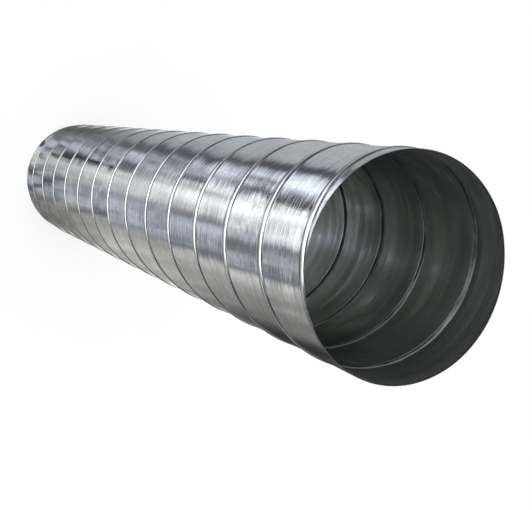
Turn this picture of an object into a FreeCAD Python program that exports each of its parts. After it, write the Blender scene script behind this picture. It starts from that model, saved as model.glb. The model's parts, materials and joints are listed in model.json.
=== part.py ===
"""Spiral duct section: a strip of galvanised sheet wound into a tube and locked along a helical seam.

The duct stands on its end on a level floor, with its axis along Z and the origin at the middle of its foot.
Sizes are in millimetres.
"""

import FreeCAD, Part
import math
import os

import Sketcher

DUCT = "spiral_duct"

# Driving dimensions: alias, value, what it measures.
DIMENSIONS = [
    ("bore_diameter", 315.0, "clear inside diameter, the duct's nominal size"),
    ("duct_length", 1670.0, "length between the two square-cut ends"),
    ("wall_thickness", 0.6, "thickness of the galvanised sheet"),
    ("seam_pitch", 122.0, "distance along the axis from one turn of the seam to the next"),
    ("seam_width", 7.5, "width of the folded seam along the axis, at its foot"),
    ("seam_height", 1.8, "how far the folded plies stand out from the wall"),
    ("seam_slant", 1.0, "how far each flank of the seam leans in, from foot to crown"),
    ("seam_root", 0.3, "how deep the foot of the seam is rooted in the wall"),
    ("seam_offset", 35.0, "distance from the top end down to the middle of the seam, on the +Y side"),
    ("crease_width", 6.0, "width of the crease that the seam leaves inside, at its mouth"),
    ("crease_depth", 0.9, "depth of the crease into the folded plies"),
    ("crease_overlap", 0.3, "how far the crease's cutting shape stands inside the bore"),
    ("trim_margin", 20.0, "how far the end cuts reach outside the seam"),
]

# Distances that follow from the driving dimensions.
OUTER_DIAMETER = "(dimensions.bore_diameter + 2 * dimensions.wall_thickness)"
OUTER_RADIUS = f"({OUTER_DIAMETER} / 2)"
BORE_RADIUS = "(dimensions.bore_diameter / 2)"
CROWN_RADIUS = f"({OUTER_RADIUS} + dimensions.seam_height)"

# The seam is wound from one turn above the top end to half a turn or more below the foot.
SEAM_START = "(dimensions.duct_length - dimensions.seam_offset + dimensions.seam_pitch)"
SEAM_RUN = "(dimensions.duct_length + 1.5 * dimensions.seam_pitch)"
TRIM_DIAMETER = f"(2 * ({CROWN_RADIUS} + dimensions.trim_margin))"
TRIM_DEPTH = "(2 * dimensions.seam_pitch)"


def make_sheet(doc):
    """The spreadsheet that drives every size."""
    sheet = doc.addObject("Spreadsheet::Sheet", "dimensions")
    for row, (alias, value, meaning) in enumerate(DIMENSIONS, start=1):
        sheet.set(f"A{row}", alias)
        sheet.set(f"B{row}", str(value))
        sheet.set(f"C{row}", meaning)
        sheet.setAlias(f"B{row}", alias)
    doc.recompute()


def origin_feature(body, role):
    """A plane or axis of the body's own origin, by its role."""
    return next(feature for feature in body.Origin.OriginFeatures if feature.Role == role)


def new_sketch(body, name, role, offset="0"):
    """An empty sketch on one of the body's origin planes, moved along its normal by an expression."""
    sketch = body.newObject("Sketcher::SketchObject", name)
    sketch.AttachmentSupport = [(origin_feature(body, role), "")]
    sketch.MapMode = "FlatFace"
    sketch.setExpression("AttachmentOffset.Base.z", offset)
    sketch.Visibility = False
    return sketch


def draw_circle(sketch, diameter):
    """A circle about the duct's axis, with its diameter bound to an expression."""
    circle = sketch.addGeometry(Part.Circle(FreeCAD.Vector(0, 0, 0), FreeCAD.Vector(0, 0, 1), 1))
    sketch.addConstraint(Sketcher.Constraint("Coincident", circle, 3, -1, 1))
    size = sketch.addConstraint(Sketcher.Constraint("Diameter", circle, 2))
    sketch.setExpression(f"Constraints[{size}]", diameter)


def draw_outline(sketch, corners):
    """A closed outline of straight lines: each corner has two expressions, away from and along the axis."""
    count = len(corners)
    # A rough polygon off the origin, which the constraints pull into place.
    rough = []
    for index in range(count):
        turn = 2 * math.pi * index / count
        rough.append(FreeCAD.Vector(2 + math.cos(turn), 2 + math.sin(turn), 0))
    for index in range(count):
        sketch.addGeometry(Part.LineSegment(rough[index], rough[(index + 1) % count]))
    for index in range(count):
        sketch.addConstraint(Sketcher.Constraint("Coincident", index, 2, (index + 1) % count, 1))
    for index, (away, along) in enumerate(corners):
        for kind, expression in (("DistanceX", away), ("DistanceY", along)):
            size = sketch.addConstraint(Sketcher.Constraint(kind, -1, 1, index, 1, 1.0))
            sketch.setExpression(f"Constraints[{size}]", expression)


def wind(body, kind, name, section):
    """Sweep a section down the seam's right-hand helix, from above the top end to below the foot."""
    winding = body.newObject(kind, name)
    winding.Profile = section
    winding.ReferenceAxis = (origin_feature(body, "Z_Axis"), [""])
    winding.Mode = "pitch-height-angle"
    winding.LeftHanded = False
    winding.Reversed = True
    winding.Refine = False
    winding.setExpression("Pitch", "dimensions.seam_pitch")
    winding.setExpression("Height", SEAM_RUN)


def trim_end(body, name, offset, outward):
    """Cut off square whatever stands out beyond one end of the duct."""
    sketch = new_sketch(body, f"{name}_outline", "XY_Plane", offset)
    draw_circle(sketch, TRIM_DIAMETER)
    cut = body.newObject("PartDesign::Pocket", name)
    cut.Profile = sketch
    cut.Reversed = outward
    cut.Refine = False
    cut.setExpression("Length", TRIM_DEPTH)


def make_blank(body):
    """A solid rod of the duct's outside diameter."""
    sketch = new_sketch(body, "blank_outline", "XY_Plane")
    draw_circle(sketch, OUTER_DIAMETER)
    blank = body.newObject("PartDesign::Pad", "blank")
    blank.Profile = sketch
    blank.setExpression("Length", "dimensions.duct_length")


def make_seam(body):
    """The four folded plies of the lock seam, standing out from the wall with slanted flanks."""
    foot_reach = "dimensions.seam_slant * dimensions.seam_root / dimensions.seam_height"
    foot = f"(dimensions.seam_width / 2 + {foot_reach})"
    crown = "(dimensions.seam_width / 2 - dimensions.seam_slant)"
    root_radius = f"{OUTER_RADIUS} - dimensions.seam_root"
    sketch = new_sketch(body, "seam_section", "YZ_Plane")
    draw_outline(
        sketch,
        [
            (root_radius, f"{SEAM_START} - {foot}"),
            (CROWN_RADIUS, f"{SEAM_START} - {crown}"),
            (CROWN_RADIUS, f"{SEAM_START} + {crown}"),
            (root_radius, f"{SEAM_START} + {foot}"),
        ],
    )
    wind(body, "PartDesign::AdditiveHelix", "seam", sketch)


def make_bore(body):
    """The clear way through the duct, which leaves the wall of one sheet thickness."""
    sketch = new_sketch(body, "bore_outline", "XY_Plane")
    draw_circle(sketch, "dimensions.bore_diameter")
    bore = body.newObject("PartDesign::Pocket", "bore")
    bore.Profile = sketch
    bore.Type = "ThroughAll"
    bore.Midplane = True
    bore.Refine = False


def make_crease(body):
    """The crease inside, where the two edges of the strip turn out into the seam."""
    mouth_reach = "(1 + dimensions.crease_overlap / dimensions.crease_depth)"
    mouth = f"dimensions.crease_width / 2 * {mouth_reach}"
    mouth_radius = f"{BORE_RADIUS} - dimensions.crease_overlap"
    sketch = new_sketch(body, "crease_section", "YZ_Plane")
    draw_outline(
        sketch,
        [
            (mouth_radius, f"{SEAM_START} - {mouth}"),
            (f"{BORE_RADIUS} + dimensions.crease_depth", SEAM_START),
            (mouth_radius, f"{SEAM_START} + {mouth}"),
        ],
    )
    wind(body, "PartDesign::SubtractiveHelix", "crease", sketch)


def make_duct(doc):
    """The duct in one body, from the solid rod to the finished tube."""
    body = doc.addObject("PartDesign::Body", DUCT)
    body.Label = DUCT
    make_blank(body)
    make_seam(body)
    trim_end(body, "top_end_cut", "dimensions.duct_length", True)
    trim_end(body, "foot_end_cut", "0", False)
    make_bore(body)
    make_crease(body)
    return body


def check_document(doc, body):
    """Stop if any object failed to recompute, or if the duct is not one valid solid."""
    for item in doc.Objects:
        if "Invalid" in item.State or "Error" in item.State:
            raise RuntimeError(f"{item.Name} did not recompute")
    if body.Shape.isNull() or not body.Shape.isValid():
        raise RuntimeError(f"{body.Label} has no valid shape")
    if len(body.Shape.Solids) != 1:
        raise RuntimeError(f"{body.Label} has {len(body.Shape.Solids)} solids in place of one")


def main():
    doc = FreeCAD.newDocument("spiral_duct_section")
    make_sheet(doc)
    body = make_duct(doc)
    doc.recompute()
    check_document(doc, body)
    os.makedirs("parts", exist_ok=True)
    body.Shape.exportStep(f"parts/{body.Label}.step")


main()
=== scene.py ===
"""Spiral duct section: the wound sheet with its lock seam, its galvanised finish and a plain studio.

Sizes are in metres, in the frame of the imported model: the duct stands on its end with its axis along Z, and
the floor is at Z = 0. A heading is an angle round the axis, from +Y towards +X.
"""

import json
import math

import bmesh
import bpy
from bpy.props import FloatProperty, FloatVectorProperty, IntProperty, PointerProperty
from mathutils import Matrix, Vector, noise


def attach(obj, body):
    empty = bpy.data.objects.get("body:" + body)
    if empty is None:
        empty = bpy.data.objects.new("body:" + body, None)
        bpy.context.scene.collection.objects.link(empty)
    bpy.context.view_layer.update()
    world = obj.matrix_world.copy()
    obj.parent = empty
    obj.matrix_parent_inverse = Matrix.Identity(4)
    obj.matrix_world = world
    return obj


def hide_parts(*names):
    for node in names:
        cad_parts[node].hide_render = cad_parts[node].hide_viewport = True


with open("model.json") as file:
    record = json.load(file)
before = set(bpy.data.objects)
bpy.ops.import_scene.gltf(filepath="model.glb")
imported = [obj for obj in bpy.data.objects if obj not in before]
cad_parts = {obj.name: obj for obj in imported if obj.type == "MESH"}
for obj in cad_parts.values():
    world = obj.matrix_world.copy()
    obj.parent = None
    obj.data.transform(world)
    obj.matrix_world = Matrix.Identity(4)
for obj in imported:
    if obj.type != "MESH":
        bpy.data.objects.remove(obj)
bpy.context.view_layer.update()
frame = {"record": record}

bl_info = {
    "name": "Spiral duct section",
    "version": (1, 0, 0),
    "blender": (4, 5, 0),
    "location": "3D View > Sidebar > Duct",
    "description": "Builds a spiral duct section with its lock seam, its galvanised finish and a studio",
    "category": "Object",
}

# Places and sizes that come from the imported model.
DUCT = "spiral_duct"
BORE = next(mount for mount in frame["record"]["mounts"] if mount["name"] == "bore")
BORE_RADIUS = BORE["dims"]["r_mm"] / 1000
DUCT_LENGTH = BORE["dims"]["length_mm"] / 1000

# The order of the material slots on the duct.
OUTSIDE, INSIDE, CUT_EDGE = range(3)

# How many faces lie over each fold of the seam, each bend of the crease, and each half of the strip outside
# and inside, and how much those of the strip crowd towards the seam.
FOLD_STEPS, BEND_STEPS = 5, 4
OUTER_STEPS, INNER_STEPS = 10, 9
CROWDING = 2.5

# How sharply the two bends turn into the crease, and the corner from which faces meet in a sharp edge.
BEND_SHARPNESS = 1.5
SHARP_CORNER = math.radians(40)

# How close corners are when the turns of the strip are joined, and when the ends are cut.
JOIN_DISTANCE = 1e-5
CUT_DISTANCE = 1e-6

# The shallow waves in the sheet: how many across the strip and in a turn, and the slice of noise they use.
WAVES_ACROSS, WAVES_IN_TURN = 1.8, 15
WAVE_SLICE = 0.5

# Rolling streaks: width across the strip and length along it.
FINE_STREAKS = {"Width": 0.0024, "Length": 0.30}
BROAD_STREAKS = {"Width": 0.012, "Length": 0.22}
INNER_STREAKS = {"Width": 0.016, "Length": 0.40}
SHEAR_STREAKS = {"Width": 0.02, "Length": 0.006}

# How deep the fine streaks score the outside, and how far the broad ones bend it.
SCORE_DEPTH = 0.000006
BEND_DEPTH = 0.00008

# The zinc's crystals: their size, how far their outlines are bent, and how finely.
CRYSTAL = 0.005
CRYSTAL_BEND = (0.6, 0.6, 0.6)
CRYSTAL_BEND_SCALE = 2.5

# Sizes of the smudges, and the middle of a noise's range, where nearly all its values are.
OUTER_SMUDGE, INNER_SMUDGE = 0.11, 0.12
NOISE_MIDDLE = (0.3, 0.7)

# Shares in the zinc's tone of fine streaks, broad streaks, crystals (outside only) and smudges, and the
# part of the inner tone that is stretched from dull to bright.
OUTER_TONE = (0.22, 0.25, 0.28, 0.25)
INNER_TONE = (0.30, 0.45, 0.25)
INNER_TONE_RANGE = (0.2, 0.8)

# What dull and bright zinc add to the roughness of clean zinc, the roughness of the dark lines of grime and
# painted shade, and that of a cut edge where it tore and where it sheared.
OUTER_ROUGHNESS = (0.08, -0.03)
INNER_ROUGHNESS = (0.16, 0.02)
OUTER_GRIME_AND_SHADE_ROUGHNESS, INNER_GRIME_AND_SHADE_ROUGHNESS = 0.6, 0.65
EDGE_ROUGHNESS = (0.5, 0.3)

# Lines along the seam: the share of its reach over which a line is full, how finely it is broken, the part
# of the noise that breaks it, and how weak it is at its weakest.
LINE_CORE = 0.25
LINE_BREAKS = 22.0
LINE_BREAK_RANGE = (0.3, 0.6)
LINE_WEAKEST = 0.55

# How far the dark line of grime and painted shade outside lies off the seam's foot, and the lips' painted
# highlight inside off the crease, and how far these lines and the dark one of grime and painted shade in the
# crease reach to either side.
FOOT_LINE_OFF, FOOT_LINE_REACH = 0.0025, 0.0034
LIP_LINE_OFF, LIP_LINE_REACH = 0.0018, 0.002
CREASE_LINE_REACH = 0.0075

# The places along Y between which the painted highlight on the lips fades, and the share that is left of it.
HIGHLIGHT_SIDE = (-0.14, -0.01)
HIGHLIGHT_LEFT = 0.05

# The distances from each end between which the darker band inside it fades, and how strong it is.
RIM_LINE = (0.0015, 0.006)
RIM_DARKENING = 0.85

# How metallic the inside is under its dust and on the lips with their painted highlight, and the share of its
# colour that is left where it is dullest.
DUSTY_METAL, HIGHLIGHT_METAL = 0.82, 0.3
DUSTY_SHARE = 0.5

# The photo's view: where the camera stands from the middle of the top end, and how it is turned and tipped.
CAMERA_FROM_MOUTH = Vector((-0.688, 0.2105, 0.985))
CAMERA_TURN = math.radians(25.875)
CAMERA_PITCH = math.radians(9.18)
CAMERA_LENS = 62.1
SENSOR_WIDTH = 36

# The studio's floor and the wall round it. The wall's bands stand on an even foot, and run on over the
# ceiling to its dark middle.
FLOOR_RADIUS = 40.0
WALL_RADIUS = 2.6
WALL_HEIGHT = 3.4
WALL_FOOT_LEVEL = 0.8
CEILING_LEVEL = 0.05

# The heights between which the foot passes into the low bands, these into the middle ones and these into
# the top ones, and the distances from the axis between which the ceiling's middle passes into the bands.
WALL_FOOT = (0.0, 0.5)
WALL_MIDDLE = (0.5, 1.9)
WALL_TOP = (2.2, 3.0)
CEILING_EDGE = (0.25, 0.7)

# How many sides the studio's floor and wall have, and the card at the foot of the bore.
STUDIO_SIDES, BORE_CARD_SIDES = 96, 48

# The card on the floor: the headings on the duct that mirror it, how far above the top end it goes on, and
# the faces of its grid.
CARD_FROM, CARD_TO = -156.0, 8.0
CARD_ABOVE = 0.45
CARD_STEPS_ACROSS, CARD_STEPS_ALONG = 80, 40

# How high the cards lie over the floor.
CARD_LIFT = 0.001

# The shares of the floor card over which its two sides and its outer edge fade.
CARD_SIDE_FADE, CARD_EDGE_FADE = 0.035, 0.14

# The bluish bar of light across the card at the foot of the bore: its colour, and where its edges fade.
GLEAM = (5.0, 5.0, 6.4)
GLEAM_EDGE = (0.006, 0.02)

# The strengths that full white on the floor card and on the wall stands for.
CARD_STRENGTH = 2.8
WALL_STRENGTH = 7.0

# Tints of the light in the studio.
WHITE = (1.0, 1.0, 1.0)
PALE = (0.96, 1.0, 1.03)
COOL = (0.91, 0.96, 1.07)
WARM = (1.02, 1.0, 0.95)

# Bands of the floor card by the heading on the duct that mirrors them: degrees, level, tint.
# The first row is what the rising edges of the strip mirror beside the seam; the others are mirrored by the
# duct's wall near the top end, half-way down and near the foot.
EDGE_BANDS = (
    (-150, 0.3, WARM), (-106, 0.25, WARM), (-97, 0.5, WHITE), (-86, 1.4, WHITE), (-66, 1.9, WHITE),
    (-46, 1.6, COOL), (-39, 0.25, COOL), (4, 0.3, COOL),
)
NEAR_BANDS = (
    (-150, 0.04, WARM), (-133, 0.03, WARM), (-122, 0.22, WARM), (-108, 0.42, WARM), (-99, 0.68, WARM),
    (-95, 0.55, COOL), (-86, 0.42, COOL), (-79, 0.68, COOL), (-73, 1.1, WHITE), (-66, 1.5, WHITE),
    (-60, 1.0, WHITE), (-55, 0.85, COOL), (-49, 1.0, COOL), (-42, 0.65, COOL), (-39, 0.18, COOL),
    (-36, 0.18, COOL), (-33, 0.6, PALE), (-12, 0.55, PALE), (4, 0.42, PALE),
)
MIDDLE_BANDS = (
    (-150, 1.6, WARM), (-144, 1.0, WARM), (-138, 0.44, WARM), (-126, 0.6, WARM), (-112, 0.64, WARM),
    (-101, 0.46, WARM), (-97, 0.38, COOL), (-86, 0.62, COOL), (-79, 0.52, COOL), (-66, 0.95, WHITE),
    (-60, 0.65, WHITE), (-54, 0.42, COOL), (-48, 0.38, COOL), (-43, 0.55, COOL), (-39, 0.18, COOL),
    (-33, 0.14, COOL), (-28, 0.42, PALE), (-16, 0.52, PALE), (-7, 0.5, PALE), (4, 1.3, PALE),
)
FAR_BANDS = (
    (-152, 2.0, WARM), (-143, 1.1, WARM), (-134, 0.22, WARM), (-122, 0.22, WARM), (-99, 0.26, WARM),
    (-93, 0.42, COOL), (-80, 0.3, COOL), (-73, 0.55, WHITE), (-66, 0.54, WHITE), (-60, 0.44, WHITE),
    (-54, 0.42, COOL), (-46, 0.38, COOL), (-37, 0.4, COOL), (-30, 0.2, COOL), (-22, 0.12, PALE),
    (-14, 0.15, PALE), (-6, 0.7, PALE), (4, 2.6, PALE),
)
# How far below the top end each row is mirrored.
CARD_ROWS = ((-0.27, EDGE_BANDS), (0.1, NEAR_BANDS), (0.75, MIDDLE_BANDS), (1.4, FAR_BANDS))

# How much the clouds over the floor card change its level, by the same headings: degrees, share.
CLOUD_BANDS = (
    (-150, 0.0), (-136, 0.2), (-104, 0.2), (-94, 0.6), (-78, 0.6), (-66, 0.25), (-57, 0.9), (-46, 0.7),
    (-38, 0.5), (-30, 0.04), (4, 0.04),
)
# How many clouds lie across and along the card, and the part of their noise that goes from dark to bright.
CLOUDS_ACROSS, CLOUDS_ALONG = 17.0, 17.0
CLOUD_RANGE = (0.42, 0.58)

# Bands of the studio's wall by heading: degrees, levels low down, half-way up and at the top, tint.
WALL_BANDS = (
    (-180, (0.85, 0.45, 0.1), COOL), (-152, (0.4, 0.2, 0.05), COOL), (-125, (0.15, 0.04, 0.04), COOL),
    (-106, (0.25, 0.05, 0.05), COOL), (-92, (4.5, 0.7, 4.0), WHITE), (-60, (7.0, 1.1, 6.0), WHITE),
    (-32, (5.0, 0.8, 4.0), WHITE), (-22, (0.25, 0.05, 0.05), COOL), (8, (0.25, 0.05, 0.05), COOL),
    (35, (0.7, 0.3, 0.1), COOL), (70, (1.1, 0.75, 0.2), WHITE), (105, (1.0, 0.65, 0.2), WHITE),
    (135, (0.65, 0.3, 0.1), COOL), (160, (1.0, 0.6, 0.1), WHITE), (180, (0.85, 0.45, 0.1), COOL),
)


class DuctSizes(bpy.types.PropertyGroup):
    """Sizes of the wound strip and its lock seam"""

    wall: FloatProperty(
        name="Wall", description="Thickness of the sheet",
        default=0.0006, unit="LENGTH", precision=5,
    )
    seam_pitch: FloatProperty(
        name="Seam pitch", description="From one turn of the seam to the next",
        default=0.122, unit="LENGTH",
    )
    seam_offset: FloatProperty(
        name="Seam offset", description="From the top end to the seam, on the +Y side",
        default=0.035, unit="LENGTH",
    )
    seam_width: FloatProperty(
        name="Seam width", description="Width of the folded seam at its foot",
        default=0.0075, unit="LENGTH",
    )
    seam_height: FloatProperty(
        name="Seam height", description="How far the seam stands out",
        default=0.0018, unit="LENGTH", precision=5,
    )
    seam_round: FloatProperty(
        name="Seam rounding", description="How far the folded edges round over",
        default=0.0022, unit="LENGTH",
    )
    rise: FloatProperty(
        name="Edge rise", description="How far the sheet rises at the seam's foot",
        default=0.0005, unit="LENGTH",
    )
    rise_reach: FloatProperty(
        name="Edge reach", description="How far from the seam the sheet rises",
        default=0.006, unit="LENGTH",
    )
    crease_width: FloatProperty(
        name="Crease width", description="Width of the crease inside, at its mouth",
        default=0.006, unit="LENGTH",
    )
    crease_depth: FloatProperty(
        name="Crease depth", description="Depth of the crease inside",
        default=0.0009, unit="LENGTH", precision=5,
    )
    lip: FloatProperty(
        name="Crease lip", description="How far the sheet bulges in beside the crease",
        default=0.0006, unit="LENGTH",
    )
    lip_reach: FloatProperty(
        name="Lip reach", description="How far from the crease the sheet bulges in",
        default=0.0018, unit="LENGTH",
    )
    hollow: FloatProperty(
        name="Hollow", description="How far the strip sags between its edges",
        default=0.0005, unit="LENGTH",
    )
    dent: FloatProperty(
        name="Dents", description="Depth of the shallow waves in the sheet",
        default=0.0007, unit="LENGTH",
    )
    turn_steps: IntProperty(
        name="Steps in a turn", description="How many faces go round one turn",
        default=108, min=24,
    )


class DuctFinish(bpy.types.PropertyGroup):
    """Colours of the galvanised sheet"""

    bright_zinc: FloatVectorProperty(
        name="Bright zinc", description="Where the zinc is clean",
        subtype="COLOR", default=(0.72, 0.735, 0.75),
    )
    dull_zinc: FloatVectorProperty(
        name="Dull zinc", description="Where the zinc is dull",
        subtype="COLOR", default=(0.44, 0.455, 0.47),
    )
    inner_zinc: FloatVectorProperty(
        name="Inner zinc", description="Inside, with a film of dust",
        subtype="COLOR", default=(0.54, 0.575, 0.545),
    )
    # This dark colour also paints shade: the lines at the seam's foot and in the crease, and the band inside
    # each end.
    grime_and_shade: FloatVectorProperty(
        name="Grime", description="Grease and dirt in the folds",
        subtype="COLOR", default=(0.03, 0.033, 0.033),
    )
    roughness: FloatProperty(
        name="Roughness", description="Of the clean zinc",
        subtype="FACTOR", default=0.08, min=0, max=1,
    )


class StudioLook(bpy.types.PropertyGroup):
    """Colours and levels of the studio"""

    floor: FloatVectorProperty(
        name="Floor", description="Colour of the floor",
        subtype="COLOR", default=(0.42, 0.42, 0.42),
    )
    floor_lift: FloatProperty(
        name="Floor lift", description="How much whiter the floor looks",
        subtype="FACTOR", default=0.61, min=0, max=1,
    )
    sky: FloatProperty(
        name="Fill", description="Strength of the even fill light",
        default=1, min=0,
    )
    bore_glow: FloatProperty(
        name="Bore glow", description="Level of the card at the foot of the bore",
        default=1.2, min=0,
    )


def new_object(name, data):
    """An object at the origin, linked to the scene."""
    piece = bpy.data.objects.new(name, data)
    bpy.context.scene.collection.objects.link(piece)
    return piece


def finish_mesh(bm, name):
    """Turn a bmesh into a new mesh and free it."""
    mesh = bpy.data.meshes.new(name)
    bm.to_mesh(mesh)
    bm.free()
    return mesh


def heading(spot):
    """The angle of a spot round the axis, from +Y towards +X."""
    return math.atan2(spot.x, spot.y)


def towards(angle):
    """The level direction at a heading."""
    return Vector((math.sin(angle), math.cos(angle), 0))


# The wound strip

def spaced(start, end, count):
    """Evenly spaced values from start to end, both included."""
    return [start + (end - start) * index / count for index in range(count + 1)]


def sag(sizes, up):
    """How far the sheet stands off its mean radius at a height from the seam: its middle is hollow."""
    return sizes.hollow * (math.cos(math.pi * up / sizes.seam_pitch) ** 2 - 0.5)


def wall_side(sizes, radius, foot, rise, reach, count):
    """Corners of the wall from the seam's foot to mid-strip, closer together and rising near the foot."""
    corners = []
    for share in spaced(0, 1, count)[1:]:
        past_foot = (sizes.seam_pitch / 2 - foot) * share**CROWDING
        edge = max(0, 1 - past_foot / reach) ** 2
        corners.append((foot + past_foot, radius + sag(sizes, foot + past_foot) + rise * edge))
    return corners


def mirrored(half):
    """A section whose lower half mirrors the given upper half, which starts at the seam."""
    return [(-up, away) for up, away in reversed(half[1:])] + half


def outside_section(sizes):
    """Corners of the outer skin over one pitch, with the rounded seam in the middle."""
    radius = BORE_RADIUS + sizes.wall
    crown = radius + sizes.seam_height
    half_width = sizes.seam_width / 2
    shelf = half_width - sizes.seam_round
    foot = radius + sizes.rise
    half = [(0, crown)]
    for turn in spaced(0, math.pi / 2, FOLD_STEPS):
        half.append((shelf + sizes.seam_round * math.sin(turn), foot + (crown - foot) * math.cos(turn)))
    return mirrored(half + wall_side(sizes, radius, half_width, sizes.rise, sizes.rise_reach, OUTER_STEPS))


def inside_section(sizes):
    """Corners of the inner skin over one pitch: two rounded bends meet in the crease behind the seam."""
    half = []
    half_width = sizes.crease_width / 2
    lip = BORE_RADIUS - sizes.lip
    for turn in spaced(0, math.pi / 2, BEND_STEPS):
        depth = (sizes.crease_depth + sizes.lip) * (1 - math.sin(turn)) ** BEND_SHARPNESS
        half.append((half_width * math.sin(turn), lip + depth))
    side = wall_side(sizes, BORE_RADIUS, half_width, -sizes.lip, sizes.lip_reach, INNER_STEPS)
    return mirrored(half + side)


def draw_section(bm, section, seam_height):
    """A chain of edges on the +Y side of the axis, with its seam at a height."""
    chain = [bm.verts.new((0, away, seam_height + up)) for up, away in section]
    edges = [bm.edges.new(pair) for pair in zip(chain, chain[1:])]
    return chain + edges


def wind_strip(bm, sizes):
    """Wind both skins of the strip down a right-hand screw, from above the top end to below the foot."""
    first_seam = DUCT_LENGTH - sizes.seam_offset + sizes.seam_pitch
    for section in (outside_section(sizes), inside_section(sizes)):
        bmesh.ops.spin(
            bm, geom=draw_section(bm, section, first_seam), cent=(0, 0, 0), axis=(0, 0, -1),
            angle=2 * math.pi, dvec=(0, 0, -sizes.seam_pitch / sizes.turn_steps),
            steps=sizes.turn_steps, use_merge=False,
        )
    one_turn = bm.verts[:] + bm.edges[:] + bm.faces[:]
    # The first turn starts above the top end, and the last is one to spare below the foot.
    for turn in range(1, math.ceil(DUCT_LENGTH / sizes.seam_pitch) + 2):
        copy = bmesh.ops.duplicate(bm, geom=one_turn)["geom"]
        verts = [item for item in copy if isinstance(item, bmesh.types.BMVert)]
        bmesh.ops.translate(bm, verts=verts, vec=(0, 0, -turn * sizes.seam_pitch))
    bmesh.ops.remove_doubles(bm, verts=bm.verts, dist=JOIN_DISTANCE)


def cut_ends(bm):
    """Cut both ends square and close each cut with the sheet's edge."""
    for height, outwards in ((DUCT_LENGTH, 1), (0, -1)):
        cut = bmesh.ops.bisect_plane(
            bm, geom=bm.verts[:] + bm.edges[:] + bm.faces[:], dist=CUT_DISTANCE,
            plane_co=(0, 0, height), plane_no=(0, 0, outwards), clear_outer=True,
        )
        rim = [item for item in cut["geom_cut"] if isinstance(item, bmesh.types.BMEdge)]
        made = bmesh.ops.triangle_fill(bm, edges=rim, normal=(0, 0, outwards), use_beauty=True)
        for item in made["geom"]:
            if isinstance(item, bmesh.types.BMFace):
                item.material_index = CUT_EDGE
    bmesh.ops.recalc_face_normals(bm, faces=bm.faces)


def strip_place(spot, angle, sizes):
    """How many turns of the strip lie between the seam's start and a spot at an angle round the axis."""
    below = DUCT_LENGTH - sizes.seam_offset - spot.z
    return below / sizes.seam_pitch - angle / (2 * math.pi)


def dent_sheet(bm, sizes):
    """Give the sheet shallow waves between the stiff seams, the same on both skins."""
    for vert in bm.verts:
        angle = heading(vert.co)
        place = strip_place(vert.co, angle, sizes)
        turn = math.floor(place)
        slack = math.sin(math.pi * (place - turn)) ** 2
        across = (place - turn) * WAVES_ACROSS
        along = (turn + angle / (2 * math.pi)) * WAVES_IN_TURN
        wave = noise.noise(Vector((across, along, WAVE_SLICE)))
        vert.co += towards(angle) * sizes.dent * slack * wave


def unroll(bm, sizes):
    """A UV map in metres, as if the strip were rolled out flat: up from its middle line, and along it."""
    layer = bm.loops.layers.uv.new("strip")
    around = 2 * math.pi * BORE_RADIUS
    for face in bm.faces:
        middle = face.calc_center_median()
        middle_angle = heading(middle)
        turn = math.floor(strip_place(middle, middle_angle, sizes))
        for loop in face.loops:
            spot = loop.vert.co
            angle = middle_angle + math.remainder(heading(spot) - middle_angle, 2 * math.pi)
            up = (turn + 0.5 - strip_place(spot, angle, sizes)) * sizes.seam_pitch
            loop[layer].uv = (up, (turn + angle / (2 * math.pi)) * around)


def set_faces(bm):
    """Smooth faces with sharp corners, and a material for each side of the sheet."""
    bm.normal_update()
    for edge in bm.edges:
        edge.smooth = edge.calc_face_angle(0) < SHARP_CORNER
    for face in bm.faces:
        face.smooth = True
        if face.material_index != CUT_EDGE:
            outwards = face.normal.dot(face.calc_center_median().to_2d().to_3d()) > 0
            face.material_index = OUTSIDE if outwards else INSIDE


def duct_mesh(sizes):
    """The whole duct as one closed mesh."""
    bm = bmesh.new()
    wind_strip(bm, sizes)
    cut_ends(bm)
    dent_sheet(bm, sizes)
    set_faces(bm)
    unroll(bm, sizes)
    return finish_mesh(bm, DUCT)


# Shader nodes

def feed(tree, socket, value):
    """Link an input to a socket, or set it to a plain value."""
    if isinstance(value, bpy.types.NodeSocket):
        tree.links.new(value, socket)
    else:
        socket.default_value = value


def add_node(tree, kind, inputs=None, **settings):
    """A new node with its settings and its inputs."""
    node = tree.nodes.new(kind)
    for name, value in settings.items():
        setattr(node, name, value)
    for name, value in (inputs or {}).items():
        feed(tree, node.inputs[name], value)
    return node


def maths(tree, operation, *values):
    """One step of arithmetic on sockets or numbers."""
    return add_node(tree, "ShaderNodeMath", dict(enumerate(values)), operation=operation).outputs[0]


def vector_maths(tree, operation, inputs, output="Vector"):
    """One step of arithmetic on vectors."""
    return add_node(tree, "ShaderNodeVectorMath", inputs, operation=operation).outputs[output]


def split(tree, vector):
    """The parts of a vector, by axis."""
    return add_node(tree, "ShaderNodeSeparateXYZ", {0: vector}).outputs


def object_place(tree):
    """The place of a point in its object's own frame."""
    return add_node(tree, "ShaderNodeTexCoord").outputs["Object"]


def spread(tree, value, low, high, to_low=0.0, to_high=1.0):
    """Stretch a range of values onto another, smoothly and without going past its ends."""
    inputs = {"Value": value, "From Min": low, "From Max": high, "To Min": to_low, "To Max": to_high}
    return add_node(tree, "ShaderNodeMapRange", inputs, interpolation_type="SMOOTHSTEP").outputs["Result"]


def between(tree, share, start, end):
    """A value that goes smoothly from a start to an end as a share goes from 0 to 1."""
    return spread(tree, share, 0.0, 1.0, start, end)


def weighted(tree, sockets, shares):
    """The sum of several sockets, each times its share."""
    total = 0.0
    for socket, share in zip(sockets, shares):
        total = maths(tree, "MULTIPLY_ADD", socket, share, total)
    return total


def tinted(level, colour):
    """A colour times a level."""
    return tuple(level * part for part in colour)


def blend(tree, factor, first, second):
    """A mix of two colours, each a socket or a plain colour."""
    node = add_node(tree, "ShaderNodeMix", {"Factor": factor}, data_type="RGBA")
    for name, value in (("A_Color", first), ("B_Color", second)):
        socket = next(item for item in node.inputs if item.identifier == name)
        feed(tree, socket, value if isinstance(value, bpy.types.NodeSocket) else (*value, 1))
    return next(item for item in node.outputs if item.identifier == "Result_Color")


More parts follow.
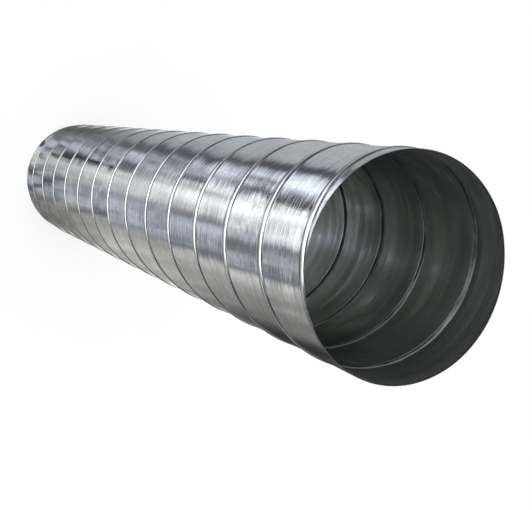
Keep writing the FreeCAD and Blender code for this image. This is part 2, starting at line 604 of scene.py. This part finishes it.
def ramp(tree, factor, stops):
    """A colour ramp with soft steps, from places between 0 and 1 and their colours."""
    node = add_node(tree, "ShaderNodeValToRGB", {"Fac": factor})
    node.color_ramp.interpolation = "EASE"
    elements = node.color_ramp.elements
    while len(elements) < len(stops):
        elements.new(0.5)
    for element, (place, colour) in zip(elements, stops):
        element.position = place
        element.color = (*colour, 1)
    return node.outputs["Color"]


def new_group(name, inputs, output):
    """An empty shader node group: its tree, its inputs, and the socket that takes its output."""
    tree = bpy.data.node_groups.new(name, "ShaderNodeTree")
    for label, kind in inputs:
        tree.interface.new_socket(label, in_out="INPUT", socket_type=kind)
    tree.interface.new_socket(output, in_out="OUTPUT", socket_type="NodeSocketFloat")
    return tree, tree.nodes.new("NodeGroupInput").outputs, tree.nodes.new("NodeGroupOutput").inputs[0]


def place_group(tree, name, inputs):
    """The output of a group that is placed in a material with its own values."""
    node = tree.nodes.new("ShaderNodeGroup")
    node.node_tree = bpy.data.node_groups[name]
    for label, value in inputs.items():
        feed(tree, node.inputs[label], value)
    return node.outputs[0]


def make_rolling_streaks():
    """Group: the streaks that the rolls leave along the strip, of a width and a length in metres."""
    inputs = (("Strip", "NodeSocketVector"), ("Width", "NodeSocketFloat"), ("Length", "NodeSocketFloat"))
    tree, given, result = new_group("rolling_streaks", inputs, "Streak")
    parts = split(tree, given["Strip"])
    across = maths(tree, "DIVIDE", parts["X"], given["Width"])
    along = maths(tree, "DIVIDE", parts["Y"], given["Length"])
    spot = add_node(tree, "ShaderNodeCombineXYZ", {"X": across, "Y": along}).outputs[0]
    look = {"Vector": spot, "Scale": 1.0, "Detail": 3.0, "Roughness": 0.6}
    grain = add_node(tree, "ShaderNodeTexNoise", look).outputs["Fac"]
    feed(tree, result, spread(tree, grain, *NOISE_MIDDLE))


def make_zinc_spangle():
    """Group: the crystals of the zinc coat, of a size in metres, each with a tone of its own."""
    inputs = (("Strip", "NodeSocketVector"), ("Crystal", "NodeSocketFloat"))
    tree, given, result = new_group("zinc_spangle", inputs, "Tone")
    density = maths(tree, "DIVIDE", 1.0, given["Crystal"])
    spot = vector_maths(tree, "SCALE", {0: given["Strip"], "Scale": density})
    look = {"Vector": spot, "Scale": CRYSTAL_BEND_SCALE, "Detail": 2.0}
    off = add_node(tree, "ShaderNodeTexNoise", look).outputs["Color"]
    bent = vector_maths(tree, "MULTIPLY_ADD", {0: off, 1: CRYSTAL_BEND, 2: spot})
    cells = add_node(tree, "ShaderNodeTexVoronoi", {"Vector": bent, "Scale": 1.0}, voronoi_dimensions="2D")
    feed(tree, result, split(tree, cells.outputs["Color"])["X"])


def make_seam_line():
    """Group: a line along both edges of the strip, at a distance from its middle, a little broken."""
    inputs = (("Strip", "NodeSocketVector"), ("Distance", "NodeSocketFloat"), ("Reach", "NodeSocketFloat"))
    tree, given, result = new_group("seam_line", inputs, "Mask")
    from_middle = maths(tree, "ABSOLUTE", split(tree, given["Strip"])["X"])
    off = maths(tree, "ABSOLUTE", maths(tree, "SUBTRACT", from_middle, given["Distance"]))
    line = spread(tree, maths(tree, "DIVIDE", off, given["Reach"]), LINE_CORE, 1.0, 1.0, 0.0)
    look = {"Vector": given["Strip"], "Scale": LINE_BREAKS, "Detail": 3.0}
    broken = add_node(tree, "ShaderNodeTexNoise", look).outputs["Fac"]
    weight = spread(tree, broken, *LINE_BREAK_RANGE, LINE_WEAKEST, 1.0)
    feed(tree, result, maths(tree, "MULTIPLY", line, weight))


# The galvanised finish

def new_metal(name):
    """A metal material: itself, its tree, its shader's inputs, and the place of a point on the strip."""
    material = bpy.data.materials.new(name)
    material.use_nodes = True
    tree = material.node_tree
    inputs = tree.nodes["Principled BSDF"].inputs
    inputs["Metallic"].default_value = 1
    return material, tree, inputs, add_node(tree, "ShaderNodeUVMap", uv_map="strip").outputs["UV"]


def streaks(tree, strip, size):
    """Rolling streaks of a width and a length, from 0 to 1."""
    return place_group(tree, "rolling_streaks", {"Strip": strip, **size})


def seam_line(tree, strip, distance, reach):
    """A mask of the line at a distance from the strip's middle."""
    return place_group(tree, "seam_line", {"Strip": strip, "Distance": distance, "Reach": reach})


def smudges(tree, size):
    """Soft uneven patches of a size in metres, from 0 to 1."""
    look = {"Vector": object_place(tree), "Scale": 1 / size, "Detail": 4.0}
    return spread(tree, add_node(tree, "ShaderNodeTexNoise", look).outputs["Fac"], *NOISE_MIDDLE)


def rolled_surface(tree, fine, broad):
    """The surface's normal, which broad streaks bend and fine ones score."""
    bent = add_node(tree, "ShaderNodeBump", {"Height": broad, "Distance": BEND_DEPTH}).outputs["Normal"]
    scores = {"Height": fine, "Distance": SCORE_DEPTH, "Normal": bent}
    return add_node(tree, "ShaderNodeBump", scores).outputs["Normal"]


def zinc_roughness(tree, finish, tone, extra):
    """Roughness of the zinc by its tone, over that of clean zinc."""
    dull, bright = extra
    return between(tree, tone, finish.roughness + dull, finish.roughness + bright)


def galvanised_outside(finish, sizes):
    """Bright zinc with rolling streaks, faint crystals, smudges, and a dark line of grime and painted shade
    at the foot of the seam.
    """
    material, tree, inputs, strip = new_metal("galvanised_outside")
    fine = streaks(tree, strip, FINE_STREAKS)
    broad = streaks(tree, strip, BROAD_STREAKS)
    crystals = place_group(tree, "zinc_spangle", {"Strip": strip, "Crystal": CRYSTAL})
    tone = weighted(tree, (fine, broad, crystals, smudges(tree, OUTER_SMUDGE)), OUTER_TONE)
    foot = (sizes.seam_pitch - sizes.seam_width) / 2
    # Grime and painted shade: a dark line at the seam's foot, where its flank and foot lie in shade.
    grime_and_shade = seam_line(tree, strip, foot - FOOT_LINE_OFF, FOOT_LINE_REACH)
    zinc = blend(tree, tone, finish.dull_zinc, finish.bright_zinc)
    feed(tree, inputs["Base Color"], blend(tree, grime_and_shade, zinc, finish.grime_and_shade))
    clean = zinc_roughness(tree, finish, tone, OUTER_ROUGHNESS)
    feed(tree, inputs["Roughness"], between(tree, grime_and_shade, clean, OUTER_GRIME_AND_SHADE_ROUGHNESS))
    feed(tree, inputs["Normal"], rolled_surface(tree, fine, broad))
    return material


def inner_grime_and_shade(tree, strip, parts, sizes):
    """A mask of grime and painted shade inside: a dark line in the crease, where shade falls, and a darker
    band inside each end.
    """
    crease = seam_line(tree, strip, sizes.seam_pitch / 2, CREASE_LINE_REACH)
    to_end = maths(tree, "PINGPONG", parts["Z"], DUCT_LENGTH / 2)
    return maths(tree, "MAXIMUM", crease, spread(tree, to_end, *RIM_LINE, RIM_DARKENING, 0.0))


def lip_highlight_mask(tree, strip, parts, sizes):
    """A mask of the painted highlight on the lips beside the crease, which is strongest on the -Y side."""
    lip = (sizes.seam_pitch - sizes.crease_width) / 2 - LIP_LINE_OFF
    side = spread(tree, parts["Y"], *HIGHLIGHT_SIDE, 1.0, HIGHLIGHT_LEFT)
    return maths(tree, "MULTIPLY", seam_line(tree, strip, lip, LIP_LINE_REACH), side)


def galvanised_inside(finish, sizes):
    """Duller zinc under a film of dust, with grime and painted shade in the crease, a darker band inside each
    end, and a pale painted highlight on the lips beside it.
    """
    material, tree, inputs, strip = new_metal("galvanised_inside")
    fine = streaks(tree, strip, FINE_STREAKS)
    broad = streaks(tree, strip, INNER_STREAKS)
    tone = weighted(tree, (fine, broad, smudges(tree, INNER_SMUDGE)), INNER_TONE)
    tone = spread(tree, tone, *INNER_TONE_RANGE)
    parts = split(tree, object_place(tree))
    # Grime and painted shade: a dark line in the crease, and a darker band inside each end.
    grime_and_shade = inner_grime_and_shade(tree, strip, parts, sizes)
    # Painted highlight: the lips beside the crease are paled towards bright zinc and made less metallic, most
    # on the -Y side.
    painted_lip_highlight = lip_highlight_mask(tree, strip, parts, sizes)
    zinc = blend(tree, tone, tinted(DUSTY_SHARE, finish.inner_zinc), finish.inner_zinc)
    soiled = blend(tree, grime_and_shade, zinc, finish.grime_and_shade)
    feed(tree, inputs["Base Color"], blend(tree, painted_lip_highlight, soiled, finish.bright_zinc))
    feed(tree, inputs["Metallic"], between(tree, painted_lip_highlight, DUSTY_METAL, HIGHLIGHT_METAL))
    clean = zinc_roughness(tree, finish, tone, INNER_ROUGHNESS)
    feed(tree, inputs["Roughness"], between(tree, grime_and_shade, clean, INNER_GRIME_AND_SHADE_ROUGHNESS))
    return material


def sheared_edge(finish):
    """The sheet's cut edge: bare steel, bright where the blade sheared it and dull where it tore."""
    material, tree, inputs, strip = new_metal("sheared_edge")
    sheared = streaks(tree, strip, SHEAR_STREAKS)
    feed(tree, inputs["Base Color"], blend(tree, sheared, finish.dull_zinc, finish.bright_zinc))
    feed(tree, inputs["Roughness"], between(tree, sheared, *EDGE_ROUGHNESS))
    return material


# The studio

def new_emitter(name):
    """A material that only glows: itself, its node tree, and its emission's inputs."""
    material = bpy.data.materials.new(name)
    material.use_nodes = True
    material.cycles.emission_sampling = "NONE"
    tree = material.node_tree
    tree.nodes.remove(tree.nodes["Principled BSDF"])
    glow = add_node(tree, "ShaderNodeEmission")
    feed(tree, tree.nodes["Material Output"].inputs["Surface"], glow.outputs[0])
    return material, tree, glow.inputs


def new_card(name, bm, material):
    """A card of the studio that only the metal mirrors: it gives no light and throws no shadow."""
    card = new_object(name, finish_mesh(bm, name))
    card.data.materials.append(material)
    card.visible_camera = False
    card.visible_diffuse = False
    card.visible_transmission = False
    card.visible_volume_scatter = False
    card.visible_shadow = False


def mirrored_place(angle, below, radius):
    """The place on the floor that the wall shows the camera at a heading and a depth below the top end."""
    wall = towards(angle) * radius
    back = CAMERA_FROM_MOUTH.to_2d().to_3d() - wall
    reach = (DUCT_LENGTH - below) * back.length / (CAMERA_FROM_MOUTH.z + below)
    return wall + towards(2 * angle - heading(back)) * reach


def card_share(degrees):
    """How far across the floor card a heading is, from 0 to 1."""
    return (degrees - CARD_FROM) / (CARD_TO - CARD_FROM)


def card_depth(below):
    """How far along the floor card a depth below the top end is, from 0 to 1."""
    return (below + CARD_ABOVE) / (DUCT_LENGTH + CARD_ABOVE)


def floor_card_mesh(radius):
    """A grid on the floor: each corner is what the wall shows the camera at one heading and depth."""
    bm = bmesh.new()
    bm.loops.layers.uv.verify()
    half = 0.5
    bmesh.ops.create_grid(
        bm, x_segments=CARD_STEPS_ACROSS, y_segments=CARD_STEPS_ALONG, size=half, calc_uvs=True
    )
    for vert in bm.verts:
        angle = math.radians(CARD_FROM + (CARD_TO - CARD_FROM) * (vert.co.x + half))
        below = (DUCT_LENGTH + CARD_ABOVE) * (vert.co.y + half) - CARD_ABOVE
        vert.co = mirrored_place(angle, below, radius) + Vector((0, 0, CARD_LIFT))
    return bm


def card_row(tree, across, bands):
    """One row of bands across the floor card."""
    stops = [(card_share(degrees), tinted(level / CARD_STRENGTH, tint)) for degrees, level, tint in bands]
    return ramp(tree, across, stops)


def card_colour(tree, parts):
    """The rows of the floor card, each blended into the next."""
    below, bands = CARD_ROWS[0]
    colour = card_row(tree, parts["X"], bands)
    for next_below, bands in CARD_ROWS[1:]:
        step = spread(tree, parts["Y"], card_depth(below), card_depth(next_below))
        colour = blend(tree, step, colour, card_row(tree, parts["X"], bands))
        below = next_below
    return colour


def card_glow(tree, place, parts):
    """The strength of the floor card, which soft clouds raise and lower."""
    spot = vector_maths(tree, "MULTIPLY", {0: place, 1: (CLOUDS_ACROSS, CLOUDS_ALONG, 0)})
    look = {"Vector": spot, "Scale": 1.0, "Detail": 2.0}
    clouds = add_node(tree, "ShaderNodeTexNoise", look).outputs["Fac"]
    stops = [(card_share(degrees), tinted(share, WHITE)) for degrees, share in CLOUD_BANDS]
    share = ramp(tree, parts["X"], stops)
    swing = maths(tree, "MULTIPLY", spread(tree, clouds, *CLOUD_RANGE, -1.0, 1.0), share)
    return maths(tree, "MULTIPLY_ADD", swing, CARD_STRENGTH, CARD_STRENGTH)


def fade_edges(tree, parts):
    """Let the floor show through the floor card near its two sides and its outer edge."""
    to_side = maths(tree, "PINGPONG", parts["X"], 0.5)
    sides = spread(tree, to_side, 0.0, CARD_SIDE_FADE)
    shown = maths(tree, "MULTIPLY", sides, spread(tree, parts["Y"], 0.0, CARD_EDGE_FADE))
    clear = add_node(tree, "ShaderNodeBsdfTransparent").outputs[0]
    bands = tree.nodes["Emission"].outputs[0]
    faded = add_node(tree, "ShaderNodeMixShader", {0: shown, 1: clear, 2: bands})
    feed(tree, tree.nodes["Material Output"].inputs["Surface"], faded.outputs[0])


def make_floor_card(radius):
    """A card on the floor, of soft bright and dark bands that the wall mirrors along the duct."""
    material, tree, glow = new_emitter("floor_card")
    place = add_node(tree, "ShaderNodeUVMap").outputs["UV"]
    parts = split(tree, place)
    feed(tree, glow["Color"], card_colour(tree, parts))
    feed(tree, glow["Strength"], card_glow(tree, place, parts))
    fade_edges(tree, parts)
    new_card("floor_card", floor_card_mesh(radius), material)


def wall_card_mesh():
    """A round wall on the floor, with a ceiling."""
    bm = bmesh.new()
    bmesh.ops.create_cone(
        bm, segments=STUDIO_SIDES, radius1=WALL_RADIUS, radius2=WALL_RADIUS, depth=WALL_HEIGHT
    )
    bmesh.ops.translate(bm, verts=bm.verts, vec=(0, 0, WALL_HEIGHT / 2))
    ceiling = Matrix.Translation((0, 0, WALL_HEIGHT))
    bmesh.ops.create_circle(bm, cap_ends=True, segments=STUDIO_SIDES, radius=WALL_RADIUS, matrix=ceiling)
    return bm


def wall_row(tree, round_share, row):
    """One of the three rows of bands right round the wall."""
    stops = []
    for degrees, levels, tint in WALL_BANDS:
        stops.append((degrees / 360 + 0.5, tinted(levels[row] / WALL_STRENGTH, tint)))
    return ramp(tree, round_share, stops)


def wall_colour(tree, parts):
    """The wall's three rows of bands, each blended into the next with the height."""
    turn = maths(tree, "DIVIDE", maths(tree, "ARCTAN2", parts["X"], parts["Y"]), 2 * math.pi)
    round_share = maths(tree, "ADD", turn, 0.5)
    low, middle, top = [wall_row(tree, round_share, row) for row in range(3)]
    lower = blend(tree, spread(tree, parts["Z"], *WALL_MIDDLE), low, middle)
    return blend(tree, spread(tree, parts["Z"], *WALL_TOP), lower, top)


def make_wall_card():
    """A wall of soft bright and dark bands round the studio, under a ceiling with a dark middle.

    The duct mirrors it when it is seen from its sides, and the flanks of the seam mirror it from above.
    """
    material, tree, glow = new_emitter("wall_card")
    parts = split(tree, object_place(tree))
    level = add_node(tree, "ShaderNodeCombineXYZ", {"X": parts["X"], "Y": parts["Y"]}).outputs[0]
    away = vector_maths(tree, "LENGTH", {0: level}, "Value")
    ceiling = tinted(CEILING_LEVEL / WALL_STRENGTH, COOL)
    upper = blend(tree, spread(tree, away, *CEILING_EDGE), ceiling, wall_colour(tree, parts))
    foot = tinted(WALL_FOOT_LEVEL / WALL_STRENGTH, WHITE)
    feed(tree, glow["Color"], blend(tree, spread(tree, parts["Z"], *WALL_FOOT), foot, upper))
    feed(tree, glow["Strength"], WALL_STRENGTH)
    new_card("wall_card", wall_card_mesh(), material)


def make_bore_card(studio):
    """A dim card at the foot of the bore, which the inside mirrors as the light from its other end."""
    bm = bmesh.new()
    foot = Matrix.Translation((0, 0, CARD_LIFT))
    bmesh.ops.create_circle(bm, cap_ends=True, segments=BORE_CARD_SIDES, radius=BORE_RADIUS, matrix=foot)
    material, tree, glow = new_emitter("bore_card")
    off = maths(tree, "ABSOLUTE", split(tree, object_place(tree))["Y"])
    feed(tree, glow["Color"], blend(tree, spread(tree, off, *GLEAM_EDGE), GLEAM, WARM))
    feed(tree, glow["Strength"], studio.bore_glow)
    new_card("bore_card", bm, material)


def make_floor(studio, radius):
    """A plain floor that looks white, to the camera and in the metal, and keeps the duct's shadow."""
    bm = bmesh.new()
    bmesh.ops.create_circle(bm, cap_ends=True, segments=STUDIO_SIDES, radius=FLOOR_RADIUS)
    floor = new_object("floor", finish_mesh(bm, "floor"))
    material, tree, glow = new_emitter("floor")
    away = vector_maths(tree, "LENGTH", {0: object_place(tree)}, "Value")
    outside = maths(tree, "GREATER_THAN", away, radius)
    light = add_node(tree, "ShaderNodeLightPath").outputs
    seen = maths(tree, "MAXIMUM", light["Is Camera Ray"], light["Is Glossy Ray"])
    seen = maths(tree, "MAXIMUM", seen, light["Is Transmission Ray"])
    lift = maths(tree, "MULTIPLY", maths(tree, "MULTIPLY", seen, outside), studio.floor_lift)
    feed(tree, glow["Strength"], lift)
    feed(tree, glow["Color"], (*WHITE, 1))
    plain = add_node(tree, "ShaderNodeBsdfDiffuse", {"Color": (*studio.floor, 1)}).outputs[0]
    white = tree.nodes["Emission"].outputs[0]
    both = add_node(tree, "ShaderNodeAddShader", {0: plain, 1: white})
    feed(tree, tree.nodes["Material Output"].inputs["Surface"], both.outputs[0])
    floor.data.materials.append(material)


def make_world(studio):
    """An even white surround."""
    world = bpy.data.worlds.new("studio")
    world.use_nodes = True
    background = world.node_tree.nodes["Background"].inputs
    background["Color"].default_value = (*WHITE, 1)
    background["Strength"].default_value = studio.sky
    bpy.context.scene.world = world


def make_camera():
    """The camera at the photo's viewing angle: the duct stands, so the camera is rolled on its side."""
    camera = bpy.data.cameras.new("camera")
    camera.lens = CAMERA_LENS
    camera.sensor_width = SENSOR_WIDTH
    right = Vector((math.cos(CAMERA_TURN), 0, math.sin(CAMERA_TURN)))
    level = Vector((math.sin(CAMERA_TURN), 0, -math.cos(CAMERA_TURN)))
    look = level * math.cos(CAMERA_PITCH) - Vector((0, math.sin(CAMERA_PITCH), 0))
    turned = Matrix((right, right.cross(look), -look)).transposed()
    holder = new_object("camera", camera)
    holder.location = Vector((0, 0, DUCT_LENGTH)) + CAMERA_FROM_MOUTH
    holder.rotation_euler = turned.to_euler()
    bpy.context.scene.camera = holder


class DUCT_OT_make_duct(bpy.types.Operator):
    """Wind the strip into the duct and give it its galvanised finish"""

    bl_idname = "spiral_duct.make_duct"
    bl_label = "Make the duct"

    def execute(self, context):
        scene = context.scene
        mesh = duct_mesh(scene.duct_sizes)
        finish = scene.duct_finish
        make_rolling_streaks()
        make_zinc_spangle()
        make_seam_line()
        mesh.materials.append(galvanised_outside(finish, scene.duct_sizes))
        mesh.materials.append(galvanised_inside(finish, scene.duct_sizes))
        mesh.materials.append(sheared_edge(finish))
        duct = new_object("duct", mesh)
        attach(duct, "root")
        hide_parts(DUCT)
        return {"FINISHED"}


class DUCT_OT_make_studio(bpy.types.Operator):
    """Set up the floor, the lights and the camera"""

    bl_idname = "spiral_duct.make_studio"
    bl_label = "Make the studio"

    def execute(self, context):
        scene = context.scene
        scene.view_settings.view_transform = "Standard"
        outer_radius = BORE_RADIUS + scene.duct_sizes.wall
        make_floor(scene.studio, outer_radius)
        make_floor_card(outer_radius)
        make_wall_card()
        make_bore_card(scene.studio)
        make_world(scene.studio)
        make_camera()
        return {"FINISHED"}


class DUCT_PT_panel(bpy.types.Panel):
    """The duct's sizes and colours, and the steps that make it"""

    bl_label = "Spiral duct section"
    bl_idname = "DUCT_PT_panel"
    bl_space_type = "VIEW_3D"
    bl_region_type = "UI"
    bl_category = "Duct"

    def draw(self, context):
        layout = self.layout
        for group in (context.scene.duct_sizes, context.scene.duct_finish, context.scene.studio):
            for name in group.__annotations__:
                layout.prop(group, name)
        layout.operator(DUCT_OT_make_duct.bl_idname)
        layout.operator(DUCT_OT_make_studio.bl_idname)


CLASSES = (DuctSizes, DuctFinish, StudioLook, DUCT_OT_make_duct, DUCT_OT_make_studio, DUCT_PT_panel)


def register():
    for item in CLASSES:
        bpy.utils.register_class(item)
    bpy.types.Scene.duct_sizes = PointerProperty(type=DuctSizes)
    bpy.types.Scene.duct_finish = PointerProperty(type=DuctFinish)
    bpy.types.Scene.studio = PointerProperty(type=StudioLook)


def unregister():
    del bpy.types.Scene.studio
    del bpy.types.Scene.duct_finish
    del bpy.types.Scene.duct_sizes
    for item in reversed(CLASSES):
        bpy.utils.unregister_class(item)


def main():
    register()
    bpy.ops.spiral_duct.make_duct()
    bpy.ops.spiral_duct.make_studio()


if __name__ == "__main__":
    main()
